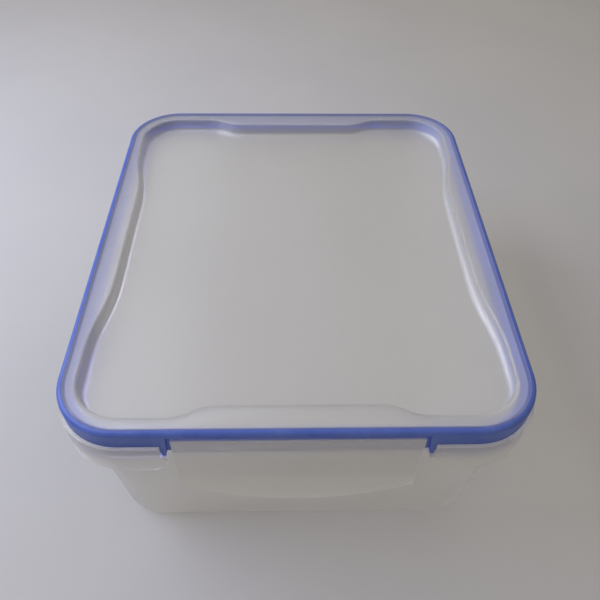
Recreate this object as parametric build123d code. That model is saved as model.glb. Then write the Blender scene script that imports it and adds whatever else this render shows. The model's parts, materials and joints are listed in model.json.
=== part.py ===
from build123d import *
import math
import os

# Snap lid food container. Millimetres, +Z up, front towards -Y.
# Origin: centre of the footprint, on the surface that the tub stands on.
# "Inset" is the distance inwards from the lid outline in plan; a negative inset lies outside it.

# ---- driving dimensions -------------------------------------------------------------------
LID_W = 236.0            # lid outline, left to right
LID_L = 275.0            # lid outline, front to back
LID_R = 33.0             # lid outline corner radius
TOP_Z = 116.0            # top face of the closed lid

BASE_INSET = 10.7        # tub outer wall where it meets the base
BASE_R = 28.0            # plan corner radius of the base
BASE_FILLET = 6.0        # outside edge between wall and base
WALL = 1.9               # tub wall
FLOOR = 2.2              # tub floor
FOOT_WIDTH = 4.0         # standing ring under the base
FOOT_HEIGHT = 0.8        # how far the base panel is raised inside the ring

LIP_INSET = 5.4          # outer face of the tub's rim lip
LIP_TOP_Z = 107.0        # top of the rim lip
LIP_ROUND = 0.6
FLANGE_Z = 98.0          # top of the tub flange
FLANGE_T = 2.8           # flange thickness
COLLAR_PROUD = 1.8       # corner collar outside the lid outline
COLLAR_T = 1.9           # corner collar thickness
COLLAR_TOP_Z = 105.4
COLLAR_BOTTOM_Z = 85.8
COLLAR_END_R = 8.0       # rounding of the collar's lower ends

PLATE_T = 1.8            # lid plates and walls
PANEL_Z = 107.6          # top of the recessed lid panel
RIM_NARROW = 10.0        # width of the lid's raised rim near the corners
RIM_WIDE = 16.5          # width of the raised rim at the middle of each side
FRONT_WAVE = (38.0, 64.0)    # front and back: the rim is wide up to the first, narrow from the second
SIDE_WAVE = (33.0, 93.0)     # the same on the two long sides
RECESS_DRAFT = 1.0       # the recess wall leans this much from top to foot
CORE_INSET = 2.7         # outer face of the lid's skirt core
CORE_T = 1.4
CORE_BOTTOM_Z = 99.5
RIM_EDGE_ROUND = 1.5     # rounded inner edge of the raised rim
RECESS_FOOT_ROUND = 2.0  # rounding where the recess wall meets the panel
GATE_R = 1.6             # moulding gate mark at the panel's centre
GATE_HEIGHT = 0.4

BAND_FILLET = 2.4        # rounded outer edge of the blue band
BAND_LOWER_INSET = 0.5   # the band steps in where it sits inside the corner collars
BAND_STEP_Z = 105.7
BAND_BOTTOM_Z = 98.3
POST_W = 3.6             # full-depth post at each end of a corner segment
POST_TAPER = 1.6         # the post's latch side leans away from the latch by this much
POST_BOTTOM_Z = 96.7

LATCH_POCKET = 2.1       # depth of the recess that takes a latch
POCKET_TOP_Z = 112.9
LATCH_GAP = 1.5          # gap between a latch and the band posts
POST_CLEAR = 0.2         # clearance between a post and the collar
POST_GAP = 0.3           # clearance under a post
POST_NOTCH_INSET = 4.5   # the notches for the posts reach in to here
FRONT_POCKET_HALF = 61.6
SIDE_POCKET_HALF = 80.2
LATCH_T = 1.8
LATCH_BOTTOM_Z = 61.0
LATCH_CORNER_R = 12.0
HINGE_Z = 108.9          # axis of the living hinges
HINGE_R = 0.6            # rolled top edge of a latch
FLARE_Z = 75.3           # the thumb lip starts to flare here
FLARE_OUT = 6.5          # outward reach of the lip at mid latch
FLARE_END_OUT = 1.5      # outward reach at the latch's ends

WEB_T = 0.5              # living hinge web
WEB_GAP = 0.05
HOOK_END = 10.0          # the hook bead stops this far from the latch's ends
HOOK_TOP_Z = FLANGE_Z - FLANGE_T - 0.1
HOOK_REACH = 2.1         # how far the bead stands in from the latch
HOOK_NOSE = 0.8
HOOK_DEPTH = 3.3

SEAL_TOP_Z = 104.3       # top of the finned part of the seal
SEAL_LINER_TOP_Z = 113.9 # the seal's backing runs up to just under the rim's top plate
SEAL_BACK_T = 0.5        # seal backing on the inside of the core
SEAL_FIN_T = 0.9
SEAL_FIN_EDGE = 0.4      # the end fins stand this far from the finned part's edges
SEAL_FIT = 0.05          # gap left between the seal and the rim lip
SEAL_SHELF_INSET = 7.8   # a shelf of the seal lies over the rim lip and ends here
SEAL_SHELF_T = 0.9

OUTSIDE = 5.0            # how far cutting boxes start outside the lid outline


# ---- plan outlines --------------------------------------------------------------------------
def outline(inset, corner=None):
    """Face of the lid outline moved inwards, concentric at the corners."""
    radius = corner if corner else LID_R - inset
    return RectangleRounded(LID_W - 2 * inset, LID_L - 2 * inset, radius)


def slab(face, low, high):
    """Upright prism of a plan face between two heights."""
    return extrude(Pos(0, 0, low) * face, amount=high - low)


def ring(outer_inset, inner_inset, low, high):
    return slab(outline(outer_inset), low, high) - slab(outline(inner_inset), low - 1, high + 1)


def wavy_side(y_edge, flat, wave):
    """One side of the wavy outline, left to right at y_edge: its middle stands in, towards +Y."""
    crest, start = wave
    y_mid, mix = y_edge + RIM_WIDE - RIM_NARROW, 0.5 * (start - crest)
    rise = Bezier((-start, y_edge), (-start + mix, y_edge), (-crest - mix, y_mid), (-crest, y_mid))
    fall = Bezier((crest, y_mid), (crest + mix, y_mid), (start - mix, y_edge), (start, y_edge))
    return [
        Line((-flat, y_edge), (-start, y_edge)),
        rise,
        Line((-crest, y_mid), (crest, y_mid)),
        fall,
        Line((start, y_edge), (flat, y_edge)),
    ]


def wavy_outline(extra):
    """Inner edge of the raised rim: narrow at the corners, wide at mid side."""
    inset = RIM_NARROW + extra
    half_x, half_y, corner = LID_W / 2 - inset, LID_L / 2 - inset, LID_R - inset
    front = wavy_side(-half_y, half_x - corner, FRONT_WAVE)
    right = [Rot(0, 0, 90) * edge for edge in wavy_side(-half_x, half_y - corner, SIDE_WAVE)]
    front_right = CenterArc((half_x - corner, -half_y + corner), corner, -90, 90)
    back_right = CenterArc((half_x - corner, half_y - corner), corner, 0, 90)
    half = front + [front_right] + right + [back_right]
    return make_face(half + [Rot(0, 0, 180) * edge for edge in half])


# ---- the four sides -------------------------------------------------------------------------
# name, turn about Z that carries the front side onto it, distance to the side, pocket half length
SIDES = [
    ("front", 0, LID_L / 2, FRONT_POCKET_HALF),
    ("right", 90, LID_W / 2, SIDE_POCKET_HALF),
    ("back", 180, LID_L / 2, FRONT_POCKET_HALF),
    ("left", 270, LID_W / 2, SIDE_POCKET_HALF),
]


def section_plane(distance):
    """Section of the front side: x is outward from the lid outline, y is height."""
    return Plane(origin=(0, -distance, 0), x_dir=(0, -1, 0), z_dir=(-1, 0, 0))


def along_side(face, distance, half):
    return extrude(section_plane(distance) * face, amount=half, both=True)


def side_box(distance, half, inset_out, inset_in, low, high):
    """Box on the front side, centred along it, between two insets and two heights."""
    return Pos(0, -distance + inset_out, low) * Box(
        2 * half, inset_in - inset_out, high - low, align=(Align.CENTER, Align.MIN, Align.MIN)
    )


# ---- tub ------------------------------------------------------------------------------------
def tub_body(shrink, low):
    """Drafted body of the tub, moved inwards by shrink, from low up to the flange."""
    slope = (BASE_INSET - LIP_INSET) / FLANGE_Z
    base = Pos(0, 0, low) * outline(BASE_INSET - slope * low + shrink, BASE_R - shrink)
    top = Pos(0, 0, FLANGE_Z) * outline(LIP_INSET + shrink)
    body = loft([base, top], ruled=True)
    return fillet(body.faces().sort_by(Axis.Z)[0].edges(), BASE_FILLET - shrink)


def make_collar():
    """Upright collar on an outer flange, kept at the four corners between the latch pockets."""
    inner_inset = COLLAR_T - COLLAR_PROUD
    flange_low = FLANGE_Z - FLANGE_T
    collar = ring(-COLLAR_PROUD, inner_inset, COLLAR_BOTTOM_Z, COLLAR_TOP_Z)
    collar += ring(inner_inset - 0.5, LIP_INSET + 0.6, flange_low, FLANGE_Z)
    for _, turn, distance, half in SIDES:
        gap = side_box(distance, half + POST_TAPER, -OUTSIDE, LID_R,
                       COLLAR_BOTTOM_Z - 1, COLLAR_TOP_Z + 1)
        collar -= Rot(0, 0, turn) * gap
    end_edges = [
        edge for edge in collar.edges().filter_by(GeomType.LINE)
        if edge.length < COLLAR_T + 0.2 and abs(edge.center().Z - COLLAR_BOTTOM_Z) < 0.01
    ]
    return fillet(end_edges, COLLAR_END_R)


def post_notches():
    """Spaces in the collars and the flange for the lid band's posts."""
    start, end = POST_TAPER - 2 * POST_CLEAR, POST_W + POST_CLEAR
    notches = []
    for _, turn, distance, half in SIDES:
        notch = side_box(distance, (end - start) / 2, -OUTSIDE, POST_NOTCH_INSET,
                         POST_BOTTOM_Z - POST_GAP, COLLAR_TOP_Z + 1)
        for way in (-1, 1):
            notches.append(Rot(0, 0, turn) * Pos(way * (half + (start + end) / 2), 0, 0) * notch)
    return notches


def make_tub():
    lip = ring(LIP_INSET, LIP_INSET + WALL, FLANGE_Z - 0.5, LIP_TOP_Z)
    lip = fillet(lip.faces().sort_by(Axis.Z)[-1].edges(), LIP_ROUND)
    flange = ring(LATCH_POCKET, LIP_INSET + 0.6, FLANGE_Z - FLANGE_T, FLANGE_Z)
    tub = tub_body(0, 0) + flange + make_collar() - tub_body(WALL, FLOOR + FOOT_HEIGHT) + lip
    ring_inside = BASE_FILLET + FOOT_WIDTH
    tub -= slab(outline(BASE_INSET + ring_inside, BASE_R - ring_inside), -1, FOOT_HEIGHT)
    return tub - post_notches()


# ---- lid ------------------------------------------------------------------------------------
def make_lid_shell():
    block = slab(outline(CORE_INSET), CORE_BOTTOM_Z, TOP_Z)
    recess = loft([
        Pos(0, 0, PANEL_Z) * wavy_outline(RECESS_DRAFT),
        Pos(0, 0, TOP_Z) * wavy_outline(0),
    ], ruled=True)
    wall_outside = loft([
        Pos(0, 0, PANEL_Z - PLATE_T) * wavy_outline(RECESS_DRAFT - PLATE_T),
        Pos(0, 0, TOP_Z - PLATE_T) * wavy_outline(-PLATE_T),
    ], ruled=True)
    under = slab(outline(CORE_INSET + CORE_T), CORE_BOTTOM_Z - 1, TOP_Z - PLATE_T) - wall_outside
    shell = block - recess - under
    shell = fillet(shell.faces().sort_by(Axis.Z)[-1].inner_wires()[0].edges(), RIM_EDGE_ROUND)
    panel = shell.faces().filter_by(Plane.XY).filter_by(lambda f: abs(f.center().Z - PANEL_Z) < 0.01)
    shell = fillet(panel[0].outer_wire().edges(), RECESS_FOOT_ROUND)
    gate = Cylinder(GATE_R, GATE_HEIGHT, align=(Align.CENTER, Align.CENTER, Align.MIN))
    return shell + Pos(0, 0, PANEL_Z) * gate


def make_post(distance, half):
    """Post of the band beside a latch, at its right end; the side next to the latch leans away."""
    side_view = make_face(Polyline(
        (half, POCKET_TOP_Z), (half + POST_TAPER, POST_BOTTOM_Z),
        (half + POST_W, POST_BOTTOM_Z), (half + POST_W, POCKET_TOP_Z), close=True,
    ))
    wall = Plane(origin=(0, -distance, 0), x_dir=(1, 0, 0), z_dir=(0, -1, 0))
    return extrude(wall * side_view, amount=-CORE_INSET)


def make_rim_band():
    band = ring(0, CORE_INSET, BAND_BOTTOM_Z, TOP_Z)
    top_outer = band.faces().sort_by(Axis.Z)[-1].outer_wire().edges()
    band = fillet(top_outer, BAND_FILLET)
    step = ring(-1, BAND_LOWER_INSET, BAND_BOTTOM_Z - 1, BAND_STEP_Z)
    for _, turn, distance, half in SIDES:
        keep = side_box(distance, half + POST_W, -OUTSIDE, CORE_INSET,
                        BAND_BOTTOM_Z - 2, BAND_STEP_Z + 1)
        step -= Rot(0, 0, turn) * keep
    band -= step
    for _, turn, distance, half in SIDES:
        pocket = side_box(distance, half + POST_W, -OUTSIDE, LATCH_POCKET,
                          BAND_BOTTOM_Z - 2, POCKET_TOP_Z)
        slot = side_box(distance, half - LATCH_GAP, -OUTSIDE, CORE_INSET + 1,
                        HINGE_Z - WEB_T / 2, HINGE_Z + WEB_T / 2)
        band -= Rot(0, 0, turn) * pocket
        band -= Rot(0, 0, turn) * slot
        post = make_post(distance, half)
        band += Rot(0, 0, turn) * post
        band += Rot(0, 0, turn) * mirror(post, about=Plane.YZ)
    return band


def make_seal():
    fin_tip = LIP_INSET - SEAL_FIT
    inside = CORE_INSET + CORE_T
    seal = ring(inside, inside + SEAL_BACK_T, CORE_BOTTOM_Z, SEAL_LINER_TOP_Z)
    lowest, highest = CORE_BOTTOM_Z + SEAL_FIN_EDGE, SEAL_TOP_Z - SEAL_FIN_EDGE - SEAL_FIN_T
    for low in (lowest, (lowest + highest) / 2, highest):
        seal += ring(inside + SEAL_BACK_T / 2, fin_tip, low, low + SEAL_FIN_T)
    shelf_low = LIP_TOP_Z + SEAL_FIT
    seal += ring(inside + SEAL_BACK_T / 2, SEAL_SHELF_INSET, shelf_low, shelf_low + SEAL_SHELF_T)
    return seal


# ---- latches --------------------------------------------------------------------------------
def latch_section():
    """Latch in section: rolled top edge, flat plate, flared thumb lip with a rounded tip."""
    drop = FLARE_Z - LATCH_T / 2 - LATCH_BOTTOM_Z
    swing = 2 * math.degrees(math.atan2(FLARE_OUT, drop))
    radius = drop / math.sin(math.radians(swing)) - LATCH_T / 2
    tip = CenterArc((radius, FLARE_Z), radius + LATCH_T / 2, 180, swing) @ 1
    outer_arc = CenterArc((radius, FLARE_Z), radius, 180, swing)
    inner_arc = CenterArc((radius, FLARE_Z), radius + LATCH_T, 180, swing)
    shoulder = HINGE_Z - 2 * HINGE_R
    plate = make_face([
        Line((0, HINGE_Z), (0, FLARE_Z)),
        outer_arc,
        Line(outer_arc @ 1, inner_arc @ 1),
        inner_arc,
        Line((-LATCH_T, FLARE_Z), (-LATCH_T, shoulder)),
        Line((-LATCH_T, shoulder), (-2 * HINGE_R, HINGE_Z - HINGE_R)),
        Line((-2 * HINGE_R, HINGE_Z - HINGE_R), (-2 * HINGE_R, HINGE_Z)),
        Line((-2 * HINGE_R, HINGE_Z), (0, HINGE_Z)),
    ])
    return plate + Pos(-HINGE_R, HINGE_Z) * Circle(HINGE_R) + Pos(tip.X, tip.Y) * Circle(LATCH_T / 2)


def make_latch(distance, half):
    half_length = half - LATCH_GAP
    plate = along_side(latch_section(), distance, half_length)
    sagitta = FLARE_OUT - FLARE_END_OUT
    bow_radius = (half_length ** 2 + sagitta ** 2) / (2 * sagitta)
    bow = Pos(0, -distance - FLARE_OUT + bow_radius, 0) * Cylinder(bow_radius, 2 * TOP_Z)
    low, high = LATCH_BOTTOM_Z, HINGE_Z + HINGE_R
    front_face = Plane(origin=(0, -distance, (low + high) / 2), x_dir=(1, 0, 0), z_dir=(0, -1, 0))
    rounded = RectangleRounded(2 * half_length, high - low, LATCH_CORNER_R)
    square_top = Pos(0, (high - low) / 4) * Rectangle(2 * half_length, (high - low) / 2)
    view = extrude(front_face * (rounded + square_top), amount=20, both=True)
    return plate & bow & view


def make_hook(distance, half):
    reach, top = -LATCH_T - HOOK_REACH, HOOK_TOP_Z
    bead = make_face(Polyline(
        (-LATCH_T, top), (reach, top), (reach, top - HOOK_NOSE), (-LATCH_T, top - HOOK_DEPTH),
        close=True,
    ))
    return along_side(bead, distance, half - LATCH_GAP - HOOK_END)


def make_web(distance, half):
    return side_box(distance, half - LATCH_GAP, 2 * HINGE_R + WEB_GAP, CORE_INSET,
                    HINGE_Z - WEB_T / 2, HINGE_Z + WEB_T / 2)


# ---- write the parts --------------------------------------------------------------------------
def write(shape, name):
    os.makedirs("parts", exist_ok=True)
    export_step(shape, f"parts/{name}.step")


write(make_tub(), "tub")
write(make_lid_shell(), "lid_shell")
write(make_rim_band(), "rim_band")
write(make_seal(), "seal_ring")
for side, turn, distance, half in SIDES:
    write(Rot(0, 0, turn) * make_latch(distance, half), f"{side}_latch")
    write(Rot(0, 0, turn) * make_hook(distance, half), f"{side}_latch_hook")
    write(Rot(0, 0, turn) * make_web(distance, half), f"{side}_hinge_web")
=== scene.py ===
import json
import math

import bmesh
import bpy
from mathutils import Matrix, Vector

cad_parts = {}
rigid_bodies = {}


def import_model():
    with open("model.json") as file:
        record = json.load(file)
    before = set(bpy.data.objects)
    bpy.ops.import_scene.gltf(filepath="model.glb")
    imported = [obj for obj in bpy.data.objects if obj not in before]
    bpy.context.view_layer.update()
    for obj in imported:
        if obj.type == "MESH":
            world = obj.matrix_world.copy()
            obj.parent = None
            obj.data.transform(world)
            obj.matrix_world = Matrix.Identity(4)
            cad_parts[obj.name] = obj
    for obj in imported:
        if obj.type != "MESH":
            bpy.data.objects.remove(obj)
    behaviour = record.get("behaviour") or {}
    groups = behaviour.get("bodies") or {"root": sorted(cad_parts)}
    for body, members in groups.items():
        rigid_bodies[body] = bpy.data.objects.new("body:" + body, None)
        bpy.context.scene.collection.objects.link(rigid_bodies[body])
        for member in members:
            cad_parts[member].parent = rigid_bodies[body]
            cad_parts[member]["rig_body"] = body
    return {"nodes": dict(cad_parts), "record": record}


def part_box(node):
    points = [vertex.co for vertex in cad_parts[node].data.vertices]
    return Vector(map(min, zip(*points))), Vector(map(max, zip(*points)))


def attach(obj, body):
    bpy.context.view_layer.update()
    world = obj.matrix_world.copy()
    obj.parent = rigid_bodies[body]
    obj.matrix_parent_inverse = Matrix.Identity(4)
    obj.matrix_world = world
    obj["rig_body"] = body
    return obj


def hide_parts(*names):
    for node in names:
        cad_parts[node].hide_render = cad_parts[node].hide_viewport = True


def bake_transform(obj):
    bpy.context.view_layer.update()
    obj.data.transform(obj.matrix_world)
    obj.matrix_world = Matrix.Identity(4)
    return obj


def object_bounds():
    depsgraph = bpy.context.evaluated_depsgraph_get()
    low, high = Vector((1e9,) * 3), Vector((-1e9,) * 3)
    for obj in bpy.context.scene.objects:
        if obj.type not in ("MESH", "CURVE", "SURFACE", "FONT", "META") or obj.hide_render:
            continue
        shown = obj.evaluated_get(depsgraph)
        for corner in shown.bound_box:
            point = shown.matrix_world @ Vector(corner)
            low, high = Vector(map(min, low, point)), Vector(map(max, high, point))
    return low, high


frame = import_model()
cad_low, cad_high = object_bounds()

# Snap lid food container, closed: frosted polypropylene tub and lid, soft blue band, four latches on
# living hinges. Metres and degrees. The front is towards -Y and +Z is up.

SIDES = ("front", "right", "back", "left")

# ---- camera ---------------------------------------------------------------------------------
CAMERA_PLACE = (-0.0046, -0.2749, 0.3608)
CAMERA_TILT = 41.95          # 0 looks straight down, 90 looks at the horizon
CAMERA_HEADING = -1.66
CAMERA_ROLL = 0.99
LENS = 36.0
SENSOR = 36.0


def make_camera():
    data = bpy.data.cameras.new("camera")
    data.lens = LENS
    data.sensor_width = SENSOR
    data.clip_start = 0.01
    camera = bpy.data.objects.new("camera", data)
    bpy.context.scene.collection.objects.link(camera)
    camera.matrix_world = (
        Matrix.Translation(CAMERA_PLACE)
        @ Matrix.Rotation(math.radians(CAMERA_HEADING), 4, "Z")
        @ Matrix.Rotation(math.radians(CAMERA_TILT), 4, "X")
        @ Matrix.Rotation(math.radians(CAMERA_ROLL), 4, "Z")
    )
    bpy.context.scene.camera = camera


# ---- light ----------------------------------------------------------------------------------
def area_light(name, place, target, size, power, colour):
    data = bpy.data.lights.new(name, "AREA")
    data.shape = "RECTANGLE"
    data.size, data.size_y = size
    data.energy = power
    data.color = colour
    light = bpy.data.objects.new(name, data)
    bpy.context.scene.collection.objects.link(light)
    light.location = place
    aim = Vector(target) - Vector(place)
    light.rotation_euler = aim.to_track_quat("-Z", "Y").to_euler()


def make_light():
    world = bpy.data.worlds.new("studio")
    world.use_nodes = True
    background = world.node_tree.nodes["Background"]
    background.inputs["Color"].default_value = (1.0, 0.90, 0.74, 1.0)
    background.inputs["Strength"].default_value = 0.40
    bpy.context.scene.world = world
    area_light("window", (-0.64, 0.10, 0.64), (0.0, 0.0, 0.05), (0.6, 0.6), 5.9, (0.74, 0.78, 1.0))
    bpy.context.scene.cycles.max_bounces = 24
    bpy.context.scene.cycles.transmission_bounces = 24
    bpy.context.scene.cycles.transparent_max_bounces = 32
    bpy.context.scene.view_settings.view_transform = "Standard"
    bpy.context.scene.view_settings.look = "None"


# ---- material nodes -------------------------------------------------------------------------
class Surface:
    """A material with a Principled shader, and short calls that add nodes to it."""

    def __init__(self, name):
        self.material = bpy.data.materials.new(name)
        self.material.use_nodes = True
        self.tree = self.material.node_tree
        self.shader = self.tree.nodes["Principled BSDF"]
        self.place = self.node("ShaderNodeTexCoord").outputs["Object"]

    def node(self, kind, **settings):
        made = self.tree.nodes.new(kind)
        for key, value in settings.items():
            setattr(made, key, value)
        return made

    def link(self, source, target):
        self.tree.links.new(source, target)

    def set(self, **values):
        """Plain values on the shader's own sockets; an underscore stands for a space."""
        for key, value in values.items():
            self.shader.inputs[key.replace("_", " ")].default_value = value

    def stretched(self, scale, turn=(0.0, 0.0, 0.0)):
        mapping = self.node("ShaderNodeMapping")
        mapping.inputs["Scale"].default_value = scale
        mapping.inputs["Rotation"].default_value = turn
        self.link(self.place, mapping.inputs["Vector"])
        return mapping.outputs["Vector"]

    def noise(self, scale, detail=2.0, roughness=0.5, at=None):
        made = self.node("ShaderNodeTexNoise")
        made.inputs["Scale"].default_value = scale
        made.inputs["Detail"].default_value = detail
        made.inputs["Roughness"].default_value = roughness
        self.link(at or self.place, made.inputs["Vector"])
        return made.outputs["Fac"]

    def remap(self, value, low, high, to_low, to_high):
        made = self.node("ShaderNodeMapRange")
        made.inputs["From Min"].default_value = low
        made.inputs["From Max"].default_value = high
        made.inputs["To Min"].default_value = to_low
        made.inputs["To Max"].default_value = to_high
        self.link(value, made.inputs["Value"])
        return made.outputs["Result"]

    def maths(self, operation, a, b):
        made = self.node("ShaderNodeMath", operation=operation)
        for socket, value in zip(made.inputs, (a, b)):
            if isinstance(value, (int, float)):
                socket.default_value = value
            else:
                self.link(value, socket)
        return made.outputs["Value"]

    def mix(self, share, a, b):
        """Colour between a and b."""
        made = self.node("ShaderNodeMix", data_type="RGBA")
        self.link(share, made.inputs["Factor"])
        for socket, value in zip((made.inputs[6], made.inputs[7]), (a, b)):
            if isinstance(value, tuple):
                socket.default_value = (*value, 1.0)
            else:
                self.link(value, socket)
        return made.outputs[2]

    def specks(self, scale, radius):
        """1 inside small round dots scattered through space, 0 elsewhere."""
        made = self.node("ShaderNodeTexVoronoi")
        made.inputs["Scale"].default_value = scale
        self.link(self.place, made.inputs["Vector"])
        near = self.maths("LESS_THAN", made.outputs["Distance"], radius)
        chosen = self.node("ShaderNodeSeparateColor")
        self.link(made.outputs["Color"], chosen.inputs["Color"])
        few = self.maths("GREATER_THAN", chosen.outputs["Red"], 0.8)
        return self.maths("MULTIPLY", near, few)

    def scratches(self, count, turn, share):
        """Fine, nearly straight hairlines along one direction."""
        at = self.stretched((count, count * 0.035, count * 0.035), (0.0, 0.0, math.radians(turn)))
        lines = self.noise(1.0, 2.0, 0.6, at)
        return self.remap(lines, share, share + 0.03, 0.0, 1.0)

    def let_light_through(self, colour):
        """Rays on their way to a light pass straight through the plastic, tinted by colour."""
        path = self.node("ShaderNodeLightPath")
        clear = self.node("ShaderNodeBsdfTransparent")
        clear.inputs["Color"].default_value = colour
        solid = self.shader.outputs["BSDF"]
        for ray in ("Is Diffuse Ray", "Is Shadow Ray"):
            either = self.node("ShaderNodeMixShader")
            self.link(path.outputs[ray], either.inputs["Fac"])
            self.link(solid, either.inputs[1])
            self.link(clear.outputs["BSDF"], either.inputs[2])
            solid = either.outputs["Shader"]
        self.link(solid, self.tree.nodes["Material Output"].inputs["Surface"])

    def bump(self, height, strength, distance, under=None):
        made = self.node("ShaderNodeBump")
        made.inputs["Strength"].default_value = strength
        made.inputs["Distance"].default_value = distance
        self.link(height, made.inputs["Height"])
        if under is not None:
            self.link(under, made.inputs["Normal"])
        return made.outputs["Normal"]


def frosted(name, blur, milk, clear, tint, shade):
    """Natural polypropylene: milky and see-through, fine matt grain, faint scuffs and dust."""
    s = Surface(name)
    s.set(Transmission_Weight=1.0 - milk, IOR=1.49, Specular_IOR_Level=0.5)
    clouds = s.noise(14.0, 3.0, 0.55)
    colour = s.mix(s.remap(clouds, 0.35, 0.65, 0.0, 1.0), tint, shade)
    dust = s.specks(260.0, 0.06)
    colour = s.mix(s.maths("MULTIPLY", dust, 0.55), colour, (0.30, 0.29, 0.28))
    s.link(colour, s.shader.inputs["Base Color"])
    scuffs = s.maths("MAXIMUM", s.scratches(420.0, 24.0, 0.66), s.scratches(520.0, -51.0, 0.67))
    patches = s.remap(s.noise(32.0, 4.0, 0.6), 0.3, 0.7, -0.02, 0.03)
    rough = s.maths("ADD", s.maths("MULTIPLY", scuffs, 0.02), s.maths("ADD", patches, blur))
    s.link(rough, s.shader.inputs["Roughness"])
    s.link(s.bump(s.noise(30.0, 1.0, 0.5), 0.30, 0.0004), s.shader.inputs["Normal"])
    s.let_light_through((clear, clear * 0.99, clear * 0.97, 1.0))
    return s.material


def blue_plastic(name, colour, deep, worn, rough, glow):
    """Soft blue over-moulding: satin, slightly mottled, rubbed paler in places."""
    s = Surface(name)
    s.set(IOR=1.5, Specular_IOR_Level=0.5)
    mottle = s.remap(s.noise(60.0, 4.0, 0.6), 0.3, 0.7, 0.0, 1.0)
    body = s.mix(mottle, colour, deep)
    rubbed = s.remap(s.noise(190.0, 5.0, 0.65), 0.60, 0.78, 0.0, 0.5)
    s.link(s.mix(rubbed, body, worn), s.shader.inputs["Base Color"])
    hairlines = s.scratches(600.0, 12.0, 0.66)
    patches = s.remap(s.noise(75.0, 4.0, 0.6), 0.3, 0.7, -0.05, 0.07)
    s.link(
        s.maths("ADD", s.maths("ADD", patches, rough), s.maths("MULTIPLY", hairlines, 0.12)),
        s.shader.inputs["Roughness"],
    )
    grain = s.bump(s.noise(3200.0, 2.0, 0.6), 0.12, 0.00006)
    s.link(s.bump(s.noise(240.0, 3.0, 0.5), 0.15, 0.0002, grain), s.shader.inputs["Normal"])
    s.let_light_through((*glow, 1.0))
    return s.material


def paper_floor():
    s = Surface("floor_paper")
    s.set(Specular_IOR_Level=0.2)
    tone = s.remap(s.noise(5.0, 4.0, 0.55), 0.3, 0.7, 0.0, 1.0)
    s.link(s.mix(tone, (0.60, 0.608, 0.622), (0.64, 0.645, 0.642)), s.shader.inputs["Base Color"])
    s.link(s.remap(s.noise(40.0), 0.3, 0.7, 0.75, 0.9), s.shader.inputs["Roughness"])
    fibre = s.bump(s.noise(900.0, 3.0, 0.6), 0.10, 0.0002)
    s.link(s.bump(s.noise(9.0, 3.0, 0.5), 0.20, 0.006, fibre), s.shader.inputs["Normal"])
    return s.material


def make_materials():
    blue = (0.105, 0.180, 0.60)
    deep_blue = (0.062, 0.125, 0.54)
    worn_blue = (0.20, 0.29, 0.72)
    tub_tints = ((0.985, 0.990, 0.970), (0.965, 0.970, 0.950))
    lid_tints = ((0.980, 0.992, 0.975), (0.960, 0.972, 0.955))
    latch_tints = ((0.985, 0.990, 0.970), (0.965, 0.970, 0.950))
    # Painted glow: the seal's blue is lighter than the band's blue. It stands in for light that shines
    # through the blue band into the channel under the lid's rim.
    seal_blue_painted_glow = (0.12, 0.21, 0.90)
    return {
        "tub_pp": frosted("tub_pp_frosted", 0.36, 0.21, 0.83, *tub_tints),
        "lid_pp": frosted("lid_pp_frosted", 0.42, 0.16, 0.97, *lid_tints),
        "latch_pp": frosted("latch_pp_frosted", 0.36, 0.17, 0.86, *latch_tints),
        "blue_band": blue_plastic("band_blue", blue, deep_blue, worn_blue, 0.42, (0.30, 0.40, 0.78)),
        "blue_seal": blue_plastic("seal_blue_painted_glow", seal_blue_painted_glow, blue, worn_blue, 0.55, (0.55, 0.66, 1.0)),
    }


# ---- floor ----------------------------------------------------------------------------------
FLOOR_HALF = 3.0
FLOOR_GAP = 0.0002


def make_floor():
    mesh = bpy.data.meshes.new("floor")
    h = FLOOR_HALF
    mesh.from_pydata([(-h, -h, 0), (h, -h, 0), (h, h, 0), (-h, h, 0)], [], [(0, 1, 2, 3)])
    floor = bpy.data.objects.new("floor", mesh)
    bpy.context.scene.collection.objects.link(floor)
    floor.location.z = cad_low.z - FLOOR_GAP
    mesh.materials.append(paper_floor())


# ---- pieces ---------------------------------------------------------------------------------
LID_R = 0.033                # lid outline corner radius
CORE_INSET = 0.0027          # where the blue band is moulded on to the lid
SEAL_INSET = 0.0041          # where the seal is moulded on to the lid
BOND = 0.00006               # moulded-on parts bite this far into the plastic
EDGE_ROUND = 0.0002
SHARP = math.radians(35.0)
WEB_T = 0.0005
HINGE_R = 0.0006             # rolled top edge of a latch
LATCH_T = 0.0018
LATCH_CORNER_R = 0.012
LATCH_END_R = 0.0005         # rounded edges of the latch's ends
FLARE_Z = 0.0753             # the thumb lip starts to flare here
FLARE_OUT = 0.0065           # outward reach of the lip at mid latch
FLARE_END_OUT = 0.0015       # outward reach at the latch's ends
HOOK_END = 0.010             # the hook bead stops this far from the latch's ends
HOOK_RAMP = 0.0015
HOOK_REACH = 0.0021
HOOK_NOSE = 0.0008
HOOK_DEPTH = 0.0033
HOOK_ROUND = 0.0003
HOOK_BLEND = 0.12            # share of the bead's slope that is eased at each end
SHOULDER_ROUND = 0.0001
COLUMN_PITCH = 0.004         # spacing of the sections along a latch
WEB_OVERLAP = 0.0002         # the web runs this far into the lid's core


def inset_of(point):
    """Distance inwards from the lid outline, in plan."""
    corner_x = cad_band[1].x - LID_R
    corner_y = cad_band[1].y - LID_R
    dx = abs(point.x) - corner_x
    dy = abs(point.y) - corner_y
    return LID_R - math.hypot(max(dx, 0.0), max(dy, 0.0)) - min(max(dx, dy), 0.0)


def move_inwards(point, distance):
    """Shifts a point at right angles to the lid outline, in plan."""
    corner_x = cad_band[1].x - LID_R
    corner_y = cad_band[1].y - LID_R
    dx = max(abs(point.x) - corner_x, 0.0)
    dy = max(abs(point.y) - corner_y, 0.0)
    share = distance / math.hypot(dx, dy)
    point.x -= share * dx * math.copysign(1.0, point.x)
    point.y -= share * dy * math.copysign(1.0, point.y)


def bonded(edge, inset):
    return all(abs(inset_of(vertex.co) - inset) < 1e-5 for vertex in edge.verts)


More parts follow.
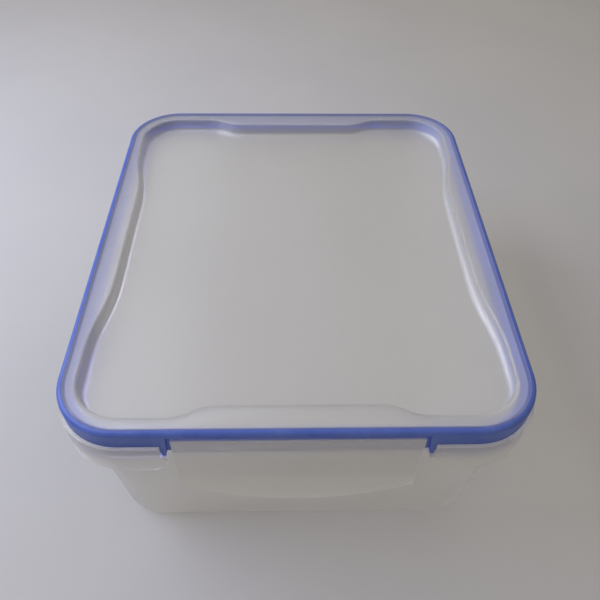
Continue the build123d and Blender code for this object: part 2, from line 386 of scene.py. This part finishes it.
def refined(node, material, bond_inset=None, bond=0.0):
    """A copy of a CAD node with softly rounded edges. The face at bond_inset is moulded on to its
    neighbour: its edges stay sharp, and it is moved inwards by bond."""
    mesh = frame["nodes"][node].data.copy()
    mesh.name = node + "_moulded"
    bm = bmesh.new()
    bm.from_mesh(mesh)
    bmesh.ops.remove_doubles(bm, verts=bm.verts, dist=1e-7)
    bmesh.ops.dissolve_limit(
        bm, angle_limit=math.radians(0.3), verts=bm.verts, edges=bm.edges, delimit=set()
    )
    sharp = [e for e in bm.edges if e.is_manifold and e.calc_face_angle() > SHARP]
    if bond_inset is not None:
        sharp = [e for e in sharp if not bonded(e, bond_inset)]
    bmesh.ops.bevel(
        bm, geom=sharp, offset=EDGE_ROUND, segments=2, profile=0.5, affect="EDGES",
        clamp_overlap=False,
    )
    if bond:
        for vertex in bm.verts:
            if abs(inset_of(vertex.co) - bond_inset) < 1e-5:
                move_inwards(vertex.co, bond)
    for face in bm.faces:
        face.smooth = True
        face.material_index = 0
    bm.to_mesh(mesh)
    bm.free()
    mesh.materials.clear()
    mesh.materials.append(material)
    piece = bpy.data.objects.new(node + "_moulded", mesh)
    bpy.context.scene.collection.objects.link(piece)
    mesh.set_sharp_from_angle(angle=math.radians(60.0))
    weighted = piece.modifiers.new("even_normals", "WEIGHTED_NORMAL")
    weighted.keep_sharp = True
    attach(piece, frame["nodes"][node]["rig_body"])
    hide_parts(node)
    return piece


def on_side(side, along, out, height):
    """Point given along a side, outwards from the lid outline, and above the ground."""
    if side in ("front", "back"):
        x, y = along, -cad_band[1].y - out
    else:
        x, y = along, -cad_band[1].x - out
    turn = SIDES.index(side)
    for _ in range(turn):
        x, y = -y, x
    return (x, y, height)


def moulded(name, verts, faces, material):
    """A smooth-shaded piece made from points and faces."""
    mesh = bpy.data.meshes.new(name)
    mesh.from_pydata(verts, [], faces)
    bm = bmesh.new()
    bm.from_mesh(mesh)
    bmesh.ops.recalc_face_normals(bm, faces=bm.faces)
    bm.to_mesh(mesh)
    bm.free()
    for polygon in mesh.polygons:
        polygon.use_smooth = True
    mesh.set_sharp_from_angle(angle=math.radians(50.0))
    mesh.materials.append(material)
    piece = bpy.data.objects.new(mesh.name, mesh)
    bpy.context.scene.collection.objects.link(piece)
    return piece


def arc(centre, radius, start, end, steps):
    """Points on a circle in the plane of outward distance and height; angles in radians."""
    points = []
    for step in range(steps + 1):
        angle = start + (end - start) * step / steps
        points.append((centre[0] + radius * math.cos(angle), centre[1] + radius * math.sin(angle)))
    return points


def flare_middle(bottom):
    """Radius of the thumb lip at the middle of its thickness, so that its tip just reaches bottom."""
    drop = FLARE_Z - 0.5 * LATCH_T - bottom
    return drop / math.sin(2.0 * math.atan2(FLARE_OUT, drop))


def flare_angle(along, half, bottom):
    """How far the thumb lip sweeps out at this place: less towards the ends and round the corners."""
    middle = flare_middle(bottom)
    bow = FLARE_OUT - (FLARE_OUT - FLARE_END_OUT) * (along / half) ** 2
    past = max(abs(along) - half + LATCH_CORNER_R, 0.0)
    corner = bottom + LATCH_CORNER_R - math.sqrt(max(LATCH_CORNER_R ** 2 - past ** 2, 0.0))
    by_reach = math.acos(1.0 - bow / middle)
    by_height = math.asin((FLARE_Z - 0.5 * LATCH_T - corner) / middle)
    return min(by_reach, by_height)


def hook_points(along, half, high):
    """The latch's inner face where the hook bead stands on it. The bead fades out at its ends."""
    share = min(max((half - HOOK_END - abs(along)) / HOOK_RAMP, 0.0), 1.0)
    bead = HOOK_REACH * math.sin(0.5 * math.pi * share)
    nose = HOOK_ROUND * bead / HOOK_REACH
    low = high - HOOK_DEPTH
    face = -LATCH_T
    tip = face - bead
    return [
        (face, low - HOOK_ROUND),
        (face, low),
        (face - HOOK_BLEND * bead, low + HOOK_BLEND * (HOOK_DEPTH - HOOK_NOSE)),
        (face - 0.9 * bead, high - HOOK_NOSE - HOOK_BLEND * HOOK_DEPTH),
        (tip, high - HOOK_NOSE),
        (tip, high - nose),
        (tip + 0.3 * nose, high - 0.3 * nose),
        (tip + nose, high),
        (face - 0.1 * bead, high),
        (face, high + 0.5 * nose),
        (face, high + HOOK_ROUND),
    ]


def latch_loop(along, half, top, bottom, hook_top):
    """Section of a latch at one place along it: roll, outer face, lip, inner face and hook bead."""
    t = LATCH_T
    flare = flare_middle(bottom) - 0.5 * t
    hinge = top - HINGE_R
    shoulder = hinge - 2.0 * HINGE_R
    sweep = flare_angle(along, half, bottom)
    centre = (flare, FLARE_Z)
    loop = arc((-HINGE_R, hinge), HINGE_R, math.pi, 0.0, 10)
    loop += [(0.0, hinge + (FLARE_Z - hinge) * step / 6) for step in range(1, 6)]
    loop += arc(centre, flare, math.pi, math.pi + sweep, 12)
    tip_radius = flare + 0.5 * t
    tip = (centre[0] - tip_radius * math.cos(sweep), centre[1] - tip_radius * math.sin(sweep))
    loop += arc(tip, 0.5 * t, sweep, sweep - math.pi, 8)[1:-1]
    loop += arc(centre, flare + t, math.pi + sweep, math.pi, 12)
    loop += hook_points(along, half, hook_top)
    loop += [
        (-t, shoulder - 2.0 * SHOULDER_ROUND),
        (-t + SHOULDER_ROUND, shoulder),
        (-2.0 * HINGE_R - SHOULDER_ROUND, hinge - HINGE_R),
        (-2.0 * HINGE_R, hinge - HINGE_R + SHOULDER_ROUND),
    ]
    return loop


def pulled_in(loop, distance):
    """The loop moved inwards, at right angles to itself."""
    moved = []
    for index, point in enumerate(loop):
        before = Vector(loop[index - 1])
        after = Vector(loop[(index + 1) % len(loop)])
        along = (after - before).normalized()
        moved.append((point[0] - along.y * -distance, point[1] - along.x * distance))
    return moved


def latch_columns(half):
    """Places near one end of a latch, closer together at its end and round its corner.
    Each comes with how far the section is pulled in there, which rounds the latch's ends."""
    places = []
    for angle in (0.0, 0.5, 1.0, 0.5 * math.pi):
        back = LATCH_END_R * (1.0 - math.cos(angle))
        places.append((half - back, LATCH_END_R * (1.0 - math.sin(angle))))
    for step in range(1, 13):
        angle = 0.5 * math.pi * step / 12
        place = half - LATCH_CORNER_R * (1.0 - math.cos(angle))
        if place < places[-1][0] - 0.0002:
            places.append((place, 0.0))
    return places


def make_latch(side, material):
    """One latch with its hook bead, as one moulding."""
    low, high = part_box(side + "_latch")
    half = 0.5 * max(high.x - low.x, high.y - low.y)
    hook_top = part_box(side + "_latch_hook")[1].z
    ends = latch_columns(half)
    inner = ends[-1][0]
    ramp = [half - HOOK_END - HOOK_RAMP * step / 4 for step in range(5)]
    ends = [place for place in ends if all(abs(place[0] - r) > 0.0003 for r in ramp)]
    right = ends + [(place, 0.0) for place in ramp]
    spread = min(ramp[-1], inner)
    count = round(spread / COLUMN_PITCH)
    right += [(spread * (1.0 - step / count), 0.0) for step in range(1, count)]
    right = sorted(right)
    places = [(-place, pull) for place, pull in reversed(right)] + [(0.0, 0.0)] + right
    verts = []
    for along, pull in places:
        loop = latch_loop(along, half, high.z, low.z, hook_top)
        loop = pulled_in(loop, pull) if pull else loop
        verts += [on_side(side, along, out, height) for out, height in loop]
    size = len(verts) // len(places)
    faces = [tuple(reversed(range(size))), tuple(range(len(verts) - size, len(verts)))]
    for column in range(len(places) - 1):
        for row in range(size):
            a = column * size + row
            b = column * size + (row + 1) % size
            faces.append((a, b, b + size, a + size))
    piece = moulded(side + "_latch_moulded", verts, faces, material)
    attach(piece, side + "_flap")
    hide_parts(side + "_latch", side + "_latch_hook")


def make_web(side, material):
    """The thin strip that a latch hangs on: a flat strip that reaches into the lid's core at one edge
    and out to the latch at the other.
    """
    low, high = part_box(side + "_latch")
    half = 0.5 * max(high.x - low.x, high.y - low.y)
    hinge = high.z - HINGE_R
    inner = -CORE_INSET - WEB_OVERLAP
    outer = -2.0 * HINGE_R + SHOULDER_ROUND
    rows = 12
    columns = 24
    verts = []
    for face in (0.5 * WEB_T, -0.5 * WEB_T):
        for row in range(rows + 1):
            out = inner + (outer - inner) * row / rows
            for column in range(columns + 1):
                along = half * (2.0 * column / columns - 1.0)
                verts.append(on_side(side, along, out, hinge + face))
    wide = columns + 1
    under = wide * (rows + 1)
    faces = []
    for row in range(rows):
        for column in range(columns):
            a = row * wide + column
            faces.append((a, a + 1, a + 1 + wide, a + wide))
            faces.append((under + a, under + a + wide, under + a + wide + 1, under + a + 1))
    border = list(range(wide))
    border += [row * wide + columns for row in range(1, rows + 1)]
    border += [rows * wide + column for column in reversed(range(columns))]
    border += [row * wide for row in reversed(range(1, rows))]
    for a, b in zip(border, border[1:] + border[:1]):
        faces.append((a, under + a, under + b, b))
    piece = moulded(side + "_web_bending", verts, faces, material)
    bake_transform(piece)
    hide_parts(side + "_hinge_web")


def dress(materials):
    """Gives every carried-over CAD node the material of its slot."""
    for row in frame["record"]["subparts"]:
        node = frame["nodes"][row["node"]]
        for place in node.material_slots:
            place.material = materials[row["material_slot"]]


cad_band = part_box("rim_band")
make_camera()
make_light()
make_floor()
materials = make_materials()
dress(materials)
refined("tub", materials["tub_pp"])
refined("lid_shell", materials["lid_pp"], CORE_INSET)
refined("rim_band", materials["blue_band"], CORE_INSET, BOND)
refined("seal_ring", materials["blue_seal"], SEAL_INSET, -BOND)
for side in SIDES:
    make_latch(side, materials["latch_pp"])
    make_web(side, materials["latch_pp"])
